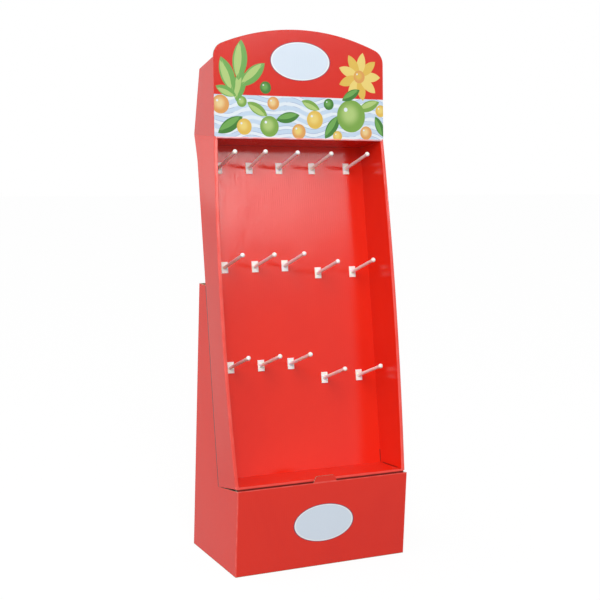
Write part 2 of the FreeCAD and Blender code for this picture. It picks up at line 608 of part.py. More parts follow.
def make_header():
    """Header hood: arched card, two side panels with inner laps, ceiling and a flap over the back."""
    body = doc.addObject("PartDesign::Body", "header")
    derive_leaning("InHood.brow", "0", "Size.tray_front")
    derive("InHood.side_foot", "InHood.brow_z + Size.seat_gap")
    derive("InHood.side_back", "InHood.brow_y + Size.header_depth")
    derive("InHood.side_top_y", "InHood.brow_y + Size.side_height * tan(Size.header_lean)")
    derive("InHood.side_top_z", "InHood.brow_z + Size.side_height")
    derive("InHood.side_crest_y", "InHood.side_top_y + Size.side_top_depth")
    derive("InHood.side_crest_z", "InHood.side_top_z - Size.side_top_drop")
    derive("InHood.lap_top", "InHood.side_foot + Size.lap_hold")
    derive("InHood.lap_front", "InHood.brow_y + Size.lap_margin")
    derive("InHood.lap_back", "InHood.side_back - Size.lap_margin")
    over_ceiling = "Place.tray_z + (Size.ceiling_level + Size.board + Size.seat_gap) / cos(Size.lean)"
    derive("InHood.lap_front_foot", f"{over_ceiling} - (InHood.lap_front - Place.tray_y) * tan(Size.lean)")
    derive("InHood.lap_back_foot", f"{over_ceiling} - (InHood.lap_back - Place.tray_y) * tan(Size.lean)")
    derive("InHood.hood_front", "InHood.brow_y - Size.header_depth")
    derive("InHood.hood_back", "InHood.side_back + Size.board")
    derive("InHood.hood_top", "InHood.brow_z + Size.card_height + Size.board")
    derive("InHood.hood_foot", "InHood.brow_z - Size.header_depth")
    doc.recompute()
    sides = outline(body, "hood_side_outline", "YZ_Plane", [
        ("InHood.brow_y", "InHood.side_foot"),
        ("InHood.side_back", "InHood.side_foot"),
        ("InHood.side_crest_y", "InHood.side_crest_z"),
        ("InHood.side_top_y", "InHood.side_top_z"),
    ])
    across_pad(body, "side_block", sides, "Size.base_width")
    laps = outline(body, "lap_outline", "YZ_Plane", [
        ("InHood.lap_front", "InHood.lap_front_foot"),
        ("InHood.lap_back", "InHood.lap_back_foot"),
        ("InHood.lap_back", "InHood.lap_top"),
        ("InHood.lap_front", "InHood.lap_top"),
    ])
    across_pad(body, "lap_block", laps, f"{INSIDE_WIDTH} - 2 * Size.seat_gap")
    above_laps = block_outline(body, "above_laps_outline", "YZ_Plane",
                               ("InHood.hood_front", "InHood.lap_top"),
                               ("InHood.hood_back", "InHood.hood_top"))
    across_cut(body, "above_laps", above_laps, INSIDE_WIDTH)
    between_laps = block_outline(body, "between_laps_outline", "YZ_Plane",
                                 ("InHood.hood_front", "InHood.hood_foot"),
                                 ("InHood.hood_back", "InHood.hood_top"))
    across_cut(body, "between_laps", between_laps, f"{INSIDE_WIDTH} - 2 * Size.board - 2 * Size.seat_gap")

    # Card: it leans less than the tray, and its foot turns in between the walls to the ceiling
    derive_leaning("InHood.fold", "0", "Size.ceiling_level")
    derive_leaning("InHood.fold_in", "Size.board", "Size.ceiling_level")
    derive("InHood.card_top_z", "InHood.brow_z + Size.card_height")
    derive("InHood.card_top_y", "InHood.brow_y + Size.card_height * tan(Size.header_lean)")
    derive("InHood.card_top_back", "InHood.card_top_y + Size.board")
    derive("InHood.card_back", "InHood.brow_y + Size.board")
    doc.recompute()
    card = outline(body, "card_outline", "YZ_Plane", [
        ("InHood.brow_y", "InHood.side_foot"),
        ("InHood.card_back", "InHood.side_foot"),
        ("InHood.card_top_back", "InHood.card_top_z"),
        ("InHood.card_top_y", "InHood.card_top_z"),
    ])
    across_pad(body, "card", card, "Size.base_width")
    foot = outline(body, "card_foot_outline", "YZ_Plane", [
        ("InHood.brow_y", "InHood.side_foot"),
        ("InHood.card_back", "InHood.side_foot"),
        ("InHood.fold_in_y", "InHood.fold_in_z"),
        ("InHood.fold_y", "InHood.fold_z"),
    ])
    across_pad(body, "card_foot", foot, PANEL_WIDTH)
    derive("InHood.arch_centre", "InHood.card_top_z - Size.arch_radius")
    derive("InHood.arch_right", "Place.right + Size.board")
    derive("InHood.arch_left", "Place.left - Size.board")
    derive("InHood.corner_right", "Place.right - Size.card_corner")
    derive("InHood.corner_left", "Place.left + Size.card_corner")
    derive("InHood.corner_rise",
           "sqrt((Size.arch_radius - Size.card_corner) ^ 2 - InHood.corner_right ^ 2)")
    derive("InHood.corner_z", "InHood.arch_centre + InHood.corner_rise")
    outwards = "Size.arch_radius / (Size.arch_radius - Size.card_corner)"
    derive("InHood.bend_right", f"InHood.corner_right * {outwards}")
    derive("InHood.bend_left", f"InHood.corner_left * {outwards}")
    derive("InHood.bend_z", f"InHood.arch_centre + InHood.corner_rise * {outwards}")
    doc.recompute()
    arch = outline(body, "arch_outline", "XZ_Plane", [
        ("InHood.arch_left", "InHood.corner_z"),
        ("Place.left", "InHood.corner_z"),
        ("InHood.bend_left", "InHood.bend_z"),
        ("InHood.bend_right", "InHood.bend_z"),
        ("Place.right", "InHood.corner_z"),
        ("InHood.arch_right", "InHood.corner_z"),
        ("InHood.arch_right", "InHood.hood_top"),
        ("InHood.arch_left", "InHood.hood_top"),
    ], arcs={
        1: ("InHood.corner_left", "InHood.corner_z", "Size.card_corner"),
        2: ("Place.zero", "InHood.arch_centre", "Size.arch_radius"),
        3: ("InHood.corner_right", "InHood.corner_z", "Size.card_corner"),
    })
    feature(body, "PartDesign::Pocket", "arch", arch, Midplane=True, Length="2 * Size.base_width")

    # Ceiling: it lies on the tray's walls and back panel, and its rear flap hooks down behind
    rear = "Size.tray_depth + Size.seat_gap"
    derive_leaning("InHood.ceiling_end", rear, "Size.ceiling_level")
    derive_leaning("InHood.flap_end", rear, "Size.ceiling_level - Size.rear_flap")
    derive_leaning("InHood.flap_outer_end", f"{rear} + Size.board", "Size.ceiling_level - Size.rear_flap")
    derive_leaning("InHood.ceiling_corner", f"{rear} + Size.board", "Size.ceiling_level + Size.board")
    derive_leaning("InHood.ceiling_front", "0.5 * Size.board", "Size.ceiling_level + Size.board")
    derive_leaning("InHood.ceiling_fold", "0.5 * Size.board", "Size.ceiling_level")
    doc.recompute()
    ceiling = outline(body, "ceiling_outline", "YZ_Plane", [
        ("InHood.ceiling_fold_y", "InHood.ceiling_fold_z"),
        ("InHood.ceiling_end_y", "InHood.ceiling_end_z"),
        ("InHood.flap_end_y", "InHood.flap_end_z"),
        ("InHood.flap_outer_end_y", "InHood.flap_outer_end_z"),
        ("InHood.ceiling_corner_y", "InHood.ceiling_corner_z"),
        ("InHood.ceiling_front_y", "InHood.ceiling_front_z"),
    ])
    across_pad(body, "ceiling", ceiling, PANEL_WIDTH)
    round_edges(body, "brow_fold", "Size.fold_radius", lambda a, b: (
        near(a.y, "InHood.fold_y") and near(a.z, "InHood.fold_z")
        and near(b.y, "InHood.fold_y") and near(b.z, "InHood.fold_z")))
    return body


pieces = [make_base_box(), make_base_riser(), make_tray(), make_header()]
for name, across, level in stations:
    pieces.append(make_hook(name, across, level))
doc.recompute()

broken = [item.Name for item in doc.Objects if "Invalid" in item.State or "Error" in item.State]
if broken:
    raise RuntimeError("failed objects: " + ", ".join(broken))
for piece in pieces:
    if piece.Shape.isNull() or not piece.Shape.isValid():
        raise RuntimeError(piece.Name + " has no valid shape")

os.makedirs("parts", exist_ok=True)
for piece in pieces:
    piece.Label = piece.Name
    piece.Shape.exportStep(f"parts/{piece.Label}.step")
    print(piece.Label, len(piece.Shape.Solids), "solid", round(piece.Shape.Volume), "mm3")
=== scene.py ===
import math

import bmesh
import bpy
from mathutils import Matrix, Vector


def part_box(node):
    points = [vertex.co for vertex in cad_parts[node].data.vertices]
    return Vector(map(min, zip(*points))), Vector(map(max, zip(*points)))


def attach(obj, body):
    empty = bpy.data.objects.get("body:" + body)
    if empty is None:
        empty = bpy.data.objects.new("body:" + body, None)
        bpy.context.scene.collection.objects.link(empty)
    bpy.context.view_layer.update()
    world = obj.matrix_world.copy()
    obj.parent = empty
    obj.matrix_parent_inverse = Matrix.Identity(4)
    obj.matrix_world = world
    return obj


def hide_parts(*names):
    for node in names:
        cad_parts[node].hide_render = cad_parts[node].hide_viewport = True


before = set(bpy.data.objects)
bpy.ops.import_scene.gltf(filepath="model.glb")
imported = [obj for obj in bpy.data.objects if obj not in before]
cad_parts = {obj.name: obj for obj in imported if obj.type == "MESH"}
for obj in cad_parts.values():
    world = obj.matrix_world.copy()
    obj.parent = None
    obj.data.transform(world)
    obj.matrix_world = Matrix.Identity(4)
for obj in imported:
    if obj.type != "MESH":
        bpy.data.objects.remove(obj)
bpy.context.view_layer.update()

# Camera: the photographer stood to the left of the stand, a little above its middle, with a long
# lens. The view is square.
LENS = 76.84
FILM_WIDTH = 36
STOOD_AT = (-1.5519, -2.9731, 1.2012)
TURNED_RIGHT = 0.4759
LOOKED_DOWN = 0.1529
ROLLED = 0.0331

camera = bpy.data.objects.new("camera", bpy.data.cameras.new("camera"))
camera.data.lens = LENS
camera.data.sensor_width = FILM_WIDTH
camera.data.clip_end = 100
turn = Matrix.Rotation(-TURNED_RIGHT, 4, "Z")
tip_down = Matrix.Rotation(math.pi / 2 - LOOKED_DOWN, 4, "X")
roll = Matrix.Rotation(ROLLED, 4, "Z")
camera.matrix_world = Matrix.Translation(STOOD_AT) @ turn @ tip_down @ roll
bpy.context.scene.collection.objects.link(camera)
bpy.context.scene.camera = camera
bpy.context.scene.view_settings.view_transform = "Standard"


class Wire:
    """A socket of a material's nodes. Python's arithmetic on it adds Math nodes."""

    def __init__(self, tree, socket):
        self.tree = tree
        self.socket = socket

    def node(self, kind, settings=None, inputs=None, output=0):
        """Adds any node: its settings first, then the values or links of its sockets."""
        made = self.tree.nodes.new(kind)
        for name, value in (settings or {}).items():
            setattr(made, name, value)
        for name, value in (inputs or {}).items():
            if isinstance(value, Wire):
                self.tree.links.new(value.socket, made.inputs[name])
            else:
                made.inputs[name].default_value = value
        return Wire(self.tree, made.outputs[output])

    def math(self, operation, *values):
        return self.node("ShaderNodeMath", {"operation": operation}, dict(enumerate(values)))

    def __add__(self, other):
        return self.math("ADD", self, other)

    def __sub__(self, other):
        return self.math("SUBTRACT", self, other)

    def __rsub__(self, other):
        return self.math("SUBTRACT", other, self)

    def __mul__(self, other):
        return self.math("MULTIPLY", self, other)

    def __truediv__(self, other):
        return self.math("DIVIDE", self, other)

    def __gt__(self, other):
        return self.math("GREATER_THAN", self, other)

    def __lt__(self, other):
        return self.math("LESS_THAN", self, other)

    def __and__(self, other):
        return self.math("MINIMUM", self, other)

    def __or__(self, other):
        return self.math("MAXIMUM", self, other)

    def __abs__(self):
        return self.math("ABSOLUTE", self)

    __radd__ = __add__
    __rmul__ = __mul__

    def sine(self):
        return self.math("SINE", self)

    def root(self):
        return self.math("SQRT", self)

    def fade(self, start, end):
        """Rises smoothly from 0 at start to 1 at end, or falls where start is the larger."""
        return self.node("ShaderNodeMapRange", {"interpolation_type": "SMOOTHSTEP"},
                         {"Value": self, "From Min": start, "From Max": end})

    def blend(self, under, over):
        """Mixes two colours: under where this is 0 and over where it is 1."""
        return self.node("ShaderNodeMix", {"data_type": "RGBA"}, {0: self, 6: under, 7: over}, output=2)

    def xyz(self):
        made = self.node("ShaderNodeSeparateXYZ", inputs={0: self}).socket.node
        return [Wire(self.tree, socket) for socket in made.outputs]

    def noise(self, scale, detail=2.0, roughness=0.5, stretch=(1, 1, 1)):
        """Noise on this position, from 0 to 1, with so many spots to the metre."""
        place = self.node("ShaderNodeMapping", inputs={"Vector": self, "Scale": stretch})
        return self.node("ShaderNodeTexNoise", inputs={
            "Vector": place, "Scale": scale, "Detail": detail, "Roughness": roughness})

    def relief(self, height):
        """A normal that follows a height in metres."""
        return self.node("ShaderNodeBump", inputs={"Height": height, "Strength": 1.0, "Distance": 1.0})


def surface(name):
    """Starts a material. Returns it, its shader, the position and the true normal."""
    material = bpy.data.materials.new(name)
    material.use_nodes = True
    tree = material.node_tree
    shader = tree.nodes["Principled BSDF"]
    start = Wire(tree, None)
    place = start.node("ShaderNodeTexCoord", output=3)
    normal = start.node("ShaderNodeNewGeometry", output=3)
    return material, shader, place, normal


def feed(shader, **sockets):
    """Sets or links the shader's sockets, named with underscores for spaces."""
    for name, value in sockets.items():
        socket = shader.inputs[name.replace("_", " ")]
        if isinstance(value, Wire):
            value.tree.links.new(value.socket, socket)
        else:
            socket.default_value = value


# Studio: a white sweep in a room that is brightest on the left. Camera and transmission rays see
# it white, gloss sees about half of that, and the floor keeps a part of the soft shadow.
SWEEP_REACH = 12
FLOOR_GREY = (0.20, 0.20, 0.20, 1)
GLOSS_SEES = 0.55
SHADOW_KEPT = 0.30
FLOOR_GLOW = 1.34
ROOM_LOW = 0.30
ROOM_LEFT = 1.00
ROOM_RIGHT = 0.50
ROOM_BACK = 0.35
ROOM_TOP = 0.15


def light_seen(tree):
    """Is 1 for rays that see the white background, less for gloss, and 0 for light on the stand."""
    path = tree.nodes.new("ShaderNodeLightPath")
    rays = [Wire(tree, path.outputs[name])
            for name in ("Is Camera Ray", "Is Glossy Ray", "Is Transmission Ray")]
    return rays[0] | rays[1] * GLOSS_SEES | rays[2]


studio = bmesh.new()
bmesh.ops.create_grid(studio, x_segments=1, y_segments=1, size=SWEEP_REACH)
sweep = bpy.data.objects.new("sweep", bpy.data.meshes.new("sweep"))
studio.to_mesh(sweep.data)
studio.free()
bpy.context.scene.collection.objects.link(sweep)
white_floor = bpy.data.materials.new("white_floor")
white_floor.use_nodes = True
floor_tree = white_floor.node_tree
seen = light_seen(floor_tree)
matt = seen.node("ShaderNodeBsdfDiffuse", inputs={"Color": FLOOR_GREY})
glow = seen.node("ShaderNodeEmission", inputs={"Color": (1, 1, 1, 1), "Strength": FLOOR_GLOW})
floor_mix = seen.node("ShaderNodeMixShader", inputs={0: seen * (1 - SHADOW_KEPT), 1: matt, 2: glow})
floor_tree.links.new(floor_mix.socket, floor_tree.nodes["Material Output"].inputs["Surface"])
sweep.data.materials.append(white_floor)

world = bpy.data.worlds.new("room")
bpy.context.scene.world = world
world.use_nodes = True
room = world.node_tree
seen = light_seen(room)
sky_x, sky_y, sky_z = seen.node("ShaderNodeTexCoord").xyz()
level = sky_x.fade(0.25, -0.75) * ROOM_LEFT + sky_x.fade(0.52, 0.95) * ROOM_RIGHT
level = level + sky_y.fade(0.3, 0.95) * ROOM_BACK + sky_z.fade(0.15, 0.95) * ROOM_TOP + ROOM_LOW
plain = seen.node("ShaderNodeBackground", inputs={"Color": (1, 1, 1, 1), "Strength": level})
bright = seen.node("ShaderNodeBackground", inputs={"Color": (1, 1, 1, 1), "Strength": 1.0})
room_mix = seen.node("ShaderNodeMixShader", inputs={0: seen, 1: plain, 2: bright})
room.links.new(room_mix.socket, room.nodes["World Output"].inputs["Surface"])


def soft_box(name, place, aim, width, height, power):
    """A studio lamp with a rectangular face, turned to the stand."""
    lamp = bpy.data.lights.new(name, "AREA")
    lamp.shape = "RECTANGLE"
    lamp.size = width
    lamp.size_y = height
    lamp.energy = power
    box = bpy.data.objects.new(name, lamp)
    towards = Vector(aim) - Vector(place)
    box.matrix_world = Matrix.Translation(place) @ towards.to_track_quat("-Z", "Y").to_matrix().to_4x4()
    bpy.context.scene.collection.objects.link(box)


soft_box("key_lamp", (-2.0, -4.6, 4.5), (0, 0, 0.7), 2.4, 2.4, 224)
soft_box("gloss_lamp", (7.4, -16.0, 7.0), (0, 0.1, 1.0), 3.3, 2.3, 145)


# Riser: a bridge of plain brown board inside the base box, folded with turned-in feet. It stands
# loose on the box's floor flaps and carries the tray.
KRAFT = (0.36, 0.215, 0.115, 1)
KRAFT_DARK = (0.26, 0.150, 0.078, 1)
KRAFT_PALE = (0.47, 0.305, 0.180, 1)
FLUTE_PITCH = 0.0063


def kraft_paper(place):
    """Colour and height of unprinted board: fibres, clouds and specks."""
    fibres = place.noise(160, detail=5, roughness=0.7, stretch=(1, 1, 0.22))
    clouds = place.noise(9, detail=3)
    specks = place.noise(900, detail=1).fade(0.68, 0.78)
    colour = fibres.fade(0.3, 0.7).blend(KRAFT, KRAFT_PALE)
    colour = (clouds.fade(0.55, 0.8) * 0.35).blend(colour, KRAFT_DARK)
    colour = (specks * 0.45).blend(colour, KRAFT_DARK)
    return colour, fibres * 0.00006 + specks * 0.00003


def flute_ribs(across):
    """Height of the flutes that show through a liner, across their run."""
    return (across * (2 * math.pi / FLUTE_PITCH)).sine()


def side_on(normal):
    """Is 1 on panels that face left or right, and 0 on those that face front or back."""
    x, _, _ = normal.xyz()
    return abs(x) > 0.7


def along_width(place, normal):
    """The coordinate across the flutes, which run up every panel."""
    x, y, _ = place.xyz()
    sideways = side_on(normal)
    return x * (1 - sideways) + y * sideways


kraft, shader, place, normal = surface("kraft_board")
colour, height = kraft_paper(place)
ribs = flute_ribs(along_width(place, normal))
feed(shader, Base_Color=colour, Roughness=0.82,
     Normal=place.relief(height + ribs * 0.00003))
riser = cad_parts["base_riser"]
riser.data.materials.clear()
riser.data.materials.append(kraft)


# Base box: one sheet of corrugated board, printed red on its outer liner and varnished. Its front
# rolls over to the inside, and its sides rise behind the tray as two wings.
RED = (0.770, 0.021, 0.006, 1)
RED_DEEP = (0.700, 0.014, 0.005, 1)
# The pale pink on the folds is painted highlight, mixed with worn print.
FOLD_WEAR_AND_HIGHLIGHT = (0.900, 0.130, 0.105, 1)
EDGE_PAPER = (0.50, 0.36, 0.25, 1)
# The hollows between the flutes in a cut edge are painted dark as shade.
EDGE_HOLLOW_SHADE = (0.110, 0.068, 0.042, 1)
BOARD = 0.003
LINER_INSIDE = BOARD * 0.36
DULL = 0.85
RIB_LEAST = 0.00001
RIB_PATCHES = 0.00007
WAVE_HEIGHT = 0.0006
STREAK_HEIGHT = 0.00013
GRAIN_HEIGHT = 0.000004


def red_print(place, normal, ink=RED, deep=RED_DEEP):
    """Colour, roughness and height of the red litho print under its gloss varnish."""
    clouds = place.noise(5, detail=3)
    grain = place.noise(420, detail=2)
    ribs = flute_ribs(along_width(place, normal))
    waves = place.noise(14, detail=2, stretch=(1, 1, 0.35))
    colour = (clouds.fade(0.35, 0.75) * 0.5).blend(ink, deep)
    colour = ((ribs * 0.5 + 0.5) * 0.06).blend(colour, deep)
    roughness = 0.10 + grain * 0.05 + clouds * 0.04
    patchy = place.noise(7, detail=2, stretch=(1, 1, 0.4))
    streaks = place.noise(170, detail=2, stretch=(1, 1, 0.02))
    height = ribs * (patchy * RIB_PATCHES + RIB_LEAST) + waves * WAVE_HEIGHT
    height = height + streaks * STREAK_HEIGHT + grain * GRAIN_HEIGHT
    return colour, roughness, height


def cut_edge(run, depth):
    """Colour of a board's cut edge: two liners and the fluting between them, with painted shade in the
    hollows.

    run follows the edge and depth goes from 0 at the middle of the board to its faces.
    """
    wave = (run * (2 * math.pi / FLUTE_PITCH)).sine() * LINER_INSIDE
    fluting = abs(depth - wave).fade(0.0008, 0.0003)
    liner = abs(depth).fade(LINER_INSIDE, BOARD * 0.44)
    return (fluting | liner).blend(EDGE_HOLLOW_SHADE, EDGE_PAPER)


def finish_board(shader, place, colour, roughness, height, printed):
    """The varnish over the print shines; plain and cut board stays dull."""
    feed(shader, Base_Color=colour, Roughness=roughness * printed + (1 - printed) * DULL,
         Specular_IOR_Level=0.5, Normal=place.relief(height))


HALF_WIDTH = 0.250
HALF_DEPTH = 0.140
FRONT_TOP = 0.226
FRONT_WALL = 0.0075
PRINT_DEPTH = 0.0024
NEAR = 0.001
WING_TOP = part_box("base_box")[1].z
LABEL_ROUND = (0.086, 0.0493)
BASE_LABEL = (0.0005, 0.1162)
LABEL_WHITE = (0.84, 0.86, 0.88, 1)
LABEL_BLUE = (0.67, 0.76, 0.86, 1)
LABEL_RIM = (0.16, 0.035, 0.09, 1)


def label(colour, across, up, centre):
    """Adds a blank oval label: pale paper with a thin dark rim."""
    dx = (across - centre[0]) / LABEL_ROUND[0]
    dz = (up - centre[1]) / LABEL_ROUND[1]
    reach = (dx * dx + dz * dz).root()
    colour = reach.fade(1.050, 1.020).blend(colour, LABEL_RIM)
    colour = reach.fade(1.012, 0.998).blend(colour, LABEL_WHITE)
    return reach.fade(0.965, 0.940).blend(colour, LABEL_BLUE)


base_skin, shader, place, normal = surface("base_board")
x, y, z = place.xyz()
nx, ny, nz = normal.xyz()
colour, roughness, height = red_print(place, normal)
plain_colour, plain_height = kraft_paper(place)
outside = (abs(x) > HALF_WIDTH - PRINT_DEPTH) | (abs(y) > HALF_DEPTH - PRINT_DEPTH)
front_wall = y < FRONT_WALL - HALF_DEPTH
rolled_in = front_wall & (abs(ny) > 0.5)
rolled_over = (nz > 0.5) & front_wall & (z > FRONT_TOP - BOARD)
side_edge = (abs(nx) < 0.5) & (abs(x) > HALF_WIDTH - BOARD) & (abs(y) < HALF_DEPTH - PRINT_DEPTH)
back_edge = (nz > 0.5) & (z > WING_TOP - BOARD)
tab_edge = (z > FRONT_TOP + 0.0005) & (y < -0.13) & (abs(ny) < 0.5)
cut = (side_edge & (z > NEAR)) | back_edge | tab_edge
printed = (outside | rolled_in | rolled_over) & (1 - cut) & (z > NEAR)
red = label(colour, x, z, BASE_LABEL)
red = (printed & (y < NEAR - HALF_DEPTH)).blend(colour, red)
# Painted highlight: lighter pink along the box's corner folds and the front's top fold stands in for light
# on the rounded folds, mixed with worn print.
fold_corner = (abs(x).fade(HALF_WIDTH - 0.0035, HALF_WIDTH - 0.0012)
               & abs(y).fade(HALF_DEPTH - 0.0035, HALF_DEPTH - 0.0012))
fold_top = abs(z - FRONT_TOP).fade(0.003, 0.001) & (y < -0.132)
wear_and_highlight = place.noise(45, detail=4).fade(0.25, 0.75)
red = ((fold_corner | fold_top) * (0.35 + wear_and_highlight * 0.5)).blend(red, FOLD_WEAR_AND_HIGHLIGHT)
edge_run = x * (abs(y) > HALF_DEPTH - BOARD) + y * (abs(y) < HALF_DEPTH - BOARD)
edge_depth = (abs(x) - (HALF_WIDTH - BOARD / 2)) * side_edge
edge_depth = edge_depth + (y - (HALF_DEPTH - BOARD / 2)) * back_edge
board = printed.blend(plain_colour, red)
board = cut.blend(board, cut_edge(edge_run, edge_depth))
height = height * printed + plain_height * (1 - printed)
finish_board(shader, place, board, roughness, height, printed)
base_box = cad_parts["base_box"]
base_box.data.materials.clear()
base_box.data.materials.append(base_skin)


# Tray: one sheet, leaning back. Its side walls fold over twice into 9 mm double walls with a
# bowed front, and its back panel is slotted for the hooks.
LEAN = math.radians(12)
TRAY_FOOT = Vector((0, -0.128, 0.229))
TRAY_LENGTH = 0.900
TRAY_DEPTH = 0.114
WALL_WIDTH = 0.0092
FLOOR_SLOPE = 0.1228
WING_HEEL = (-0.0163, 0.2051)
# Painted shade: the colour of the shadow in the gaps between the tray and the parts beside it.
SEAM_SHADE = (0.055, 0.012, 0.010, 1)


def tray_axes(y, z):
    """Depth behind the tray's leaning front, and height up along it."""
    depth = (y - TRAY_FOOT.y) * math.cos(LEAN) - (z - TRAY_FOOT.z) * math.sin(LEAN)
    rise = (y - TRAY_FOOT.y) * math.sin(LEAN) + (z - TRAY_FOOT.z) * math.cos(LEAN)
    return depth, rise


tray_skin, shader, place, normal = surface("tray_board")
x, y, z = place.xyz()
nx, ny, nz = normal.xyz()
depth, rise = tray_axes(y, z)
facing_back = ny * math.cos(LEAN) - nz * math.sin(LEAN)
facing_up = ny * math.sin(LEAN) + nz * math.cos(LEAN)
colour, roughness, height = red_print(place, normal)
plain_colour, plain_height = kraft_paper(place)
behind = (depth > TRAY_DEPTH - 0.0004) & (facing_back > 0.5)
wall_end = (abs(x) > HALF_WIDTH - BOARD - NEAR) & (facing_back > 0.5)
wall_top = (abs(x) > HALF_WIDTH - WALL_WIDTH - NEAR) & (facing_up > 0.5) & (rise > 0.8)
wall_end = wall_end | wall_top
slot_side = (depth > TRAY_DEPTH - BOARD + 0.0003) & (abs(facing_back) < 0.5) & (abs(x) < 0.24)
wing_inside = (depth > TRAY_DEPTH) & (abs(x) < HALF_WIDTH - BOARD + 0.004) & (nx * x < 0)
under_floor = (facing_up < -0.5) & (rise < 0.03)
printed = 1 - (behind | wall_end | slot_side | wing_inside | under_floor)
# Painted highlight: lighter pink on the front strips of the double walls and on the floor's front fold
# stands in for light on the rounded folds, mixed with worn print on the strips.
strip = depth.fade(0.0026, 0.0010) & (abs(x) > HALF_WIDTH - 0.0115)
wear_and_highlight = place.noise(38, detail=4, stretch=(1, 1, 0.5)).fade(0.25, 0.75)
red = (strip * (0.30 + wear_and_highlight * 0.4)).blend(colour, FOLD_WEAR_AND_HIGHLIGHT)
floor_fold = (rise < 0.006) & (depth < 0.0045)
red = (floor_fold * 0.6).blend(red, FOLD_WEAR_AND_HIGHLIGHT)
# Painted shade: dark lines where the tray's floor fold sits above the base box's front, beside the base
# box's wings, and in the slits where the floor and the back panel meet the side walls, stand in for the
# shadow in those gaps.
lip_shade = rise.fade(-0.0012, -0.0020) & (depth < 0.006)
wing_edge = (y - WING_HEEL[0]) * math.cos(LEAN) - (z - WING_HEEL[1]) * math.sin(LEAN)
wing_shade = wing_edge.fade(-0.0055, -0.0036) & (wing_edge < 0.004) & (z < WING_TOP)
wing_shade = wing_shade & (abs(x) > HALF_WIDTH - 0.004) & (abs(nx) > 0.7)
floor_corner_shade = (rise - 0.004 - depth * FLOOR_SLOPE).fade(0.0022, 0.0010) & (abs(x) > 0.2392)
floor_corner_shade = floor_corner_shade & (depth > 0.022) & (depth < 0.10) & (abs(x) < 0.2410)
panel_foot = depth.fade(TRAY_DEPTH - BOARD - 0.0026, TRAY_DEPTH - BOARD - 0.0012) & (rise < 0.052)
panel_corner_shade = panel_foot & (abs(x) > 0.2396) & (rise > 0.018)
dark = (lip_shade * 0.85) | (wing_shade * 0.85) | (floor_corner_shade * 0.7) | (panel_corner_shade * 0.6)
red = dark.blend(red, SEAM_SHADE)
board = printed.blend(plain_colour, red)
board = (wall_end | slot_side).blend(board, cut_edge(rise, abs(x) - (HALF_WIDTH - BOARD / 2)))
height = height * printed + plain_height * (1 - printed)
finish_board(shader, place, board, roughness, height, printed)
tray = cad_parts["tray"]
tray.data.materials.clear()
tray.data.materials.append(tray_skin)


# Header: one sheet, folded to a hood. The arched card and two side wings stand over the tray,
# and a ceiling folds back from the card's foot with a flap behind the tray's back panel.
CARD_LEAN = math.radians(5.6)
BROW = TRAY_FOOT + Vector((0, math.sin(LEAN), math.cos(LEAN))) * TRAY_LENGTH
HEADER_RED = (0.670, 0.016, 0.005, 1)
HEADER_DEEP = (0.610, 0.011, 0.004, 1)
HEADER_LABEL = (-0.001, 0.1996)
BAND_TOP = 0.107
BLOOM = (0.176, 0.166)
BLOOM_REACH = 0.034
PETALS = 9
BAND_BLUE = (0.53, 0.66, 0.80, 1)
BAND_WHITE = (0.74, 0.81, 0.87, 1)
BAND_SHADE = (0.13, 0.22, 0.50, 1)
LIME = (0.19, 0.37, 0.06, 1)
LIME_PALE = (0.42, 0.58, 0.19, 1)
LEAF = (0.05, 0.20, 0.03, 1)
LEAF_PALE = (0.15, 0.38, 0.08, 1)
YELLOW = (0.72, 0.47, 0.08, 1)
YELLOW_PALE = (0.80, 0.62, 0.18, 1)
ORANGE = (0.70, 0.33, 0.09, 1)
CREAM = (0.80, 0.60, 0.28, 1)


def disc(colour, across, up, centre, radius, ink):
    """Lays a plain disc of ink over a colour."""
    dx = across - centre[0]
    dz = up - centre[1]
    return (dx * dx + dz * dz).root().fade(radius + 0.0003, radius - 0.0003).blend(colour, ink)


def bead(colour, across, up, centre, radius, ink, pale):
    """Lays a round bead: a disc with a paler heart and a small light."""
    colour = disc(colour, across, up, centre, radius, ink)
    dx = across - (centre[0] - radius * 0.12)
    dz = up - (centre[1] + radius * 0.12)
    colour = (dx * dx + dz * dz).root().fade(radius * 0.86, radius * 0.20).blend(colour, pale)
    shine = (centre[0] - radius * 0.38, centre[1] + radius * 0.40)
    return disc(colour, across, up, shine, radius * 0.13, BAND_WHITE)


def petal(colour, across, up, centre, length, width, angle, ink):
    """Lays a pointed leaf of ink, the overlap of two round discs, over a colour."""
    along = (across - centre[0]) * math.cos(angle) + (up - centre[1]) * math.sin(angle)
    beside = (up - centre[1]) * math.cos(angle) - (across - centre[0]) * math.sin(angle)
    radius = (length ** 2 + width ** 2) / (4 * width)
    off = radius - width / 2
    far = abs(beside) + off
    return (along * along + far * far).root().fade(radius + 0.0003, radius - 0.0003).blend(colour, ink)


def leaf(colour, across, up, centre, length, angle, ink, pale):
    """Lays a leaf with a paler half and a fine midrib."""
    colour = petal(colour, across, up, centre, length, length * 0.40, angle, ink)
    off = length * 0.055
    half = (centre[0] - off * math.sin(angle), centre[1] + off * math.cos(angle))
    colour = petal(colour, across, up, half, length * 0.84, length * 0.20, angle, pale)
    return petal(colour, across, up, centre, length * 0.96, length * 0.022, angle, pale)


header_skin, shader, place, normal = surface("header_board")
x, y, z = place.xyz()
nx, ny, nz = normal.xyz()
up = (y - BROW.y) * math.sin(CARD_LEAN) + (z - BROW.z) * math.cos(CARD_LEAN)
back = (y - BROW.y) * math.cos(CARD_LEAN) - (z - BROW.z) * math.sin(CARD_LEAN)
facing_back = ny * math.cos(CARD_LEAN) - nz * math.sin(CARD_LEAN)
colour, roughness, height = red_print(place, normal, HEADER_RED, HEADER_DEEP)
plain_colour, plain_height = kraft_paper(place)
on_front = (facing_back < -0.5) & (back < NEAR)

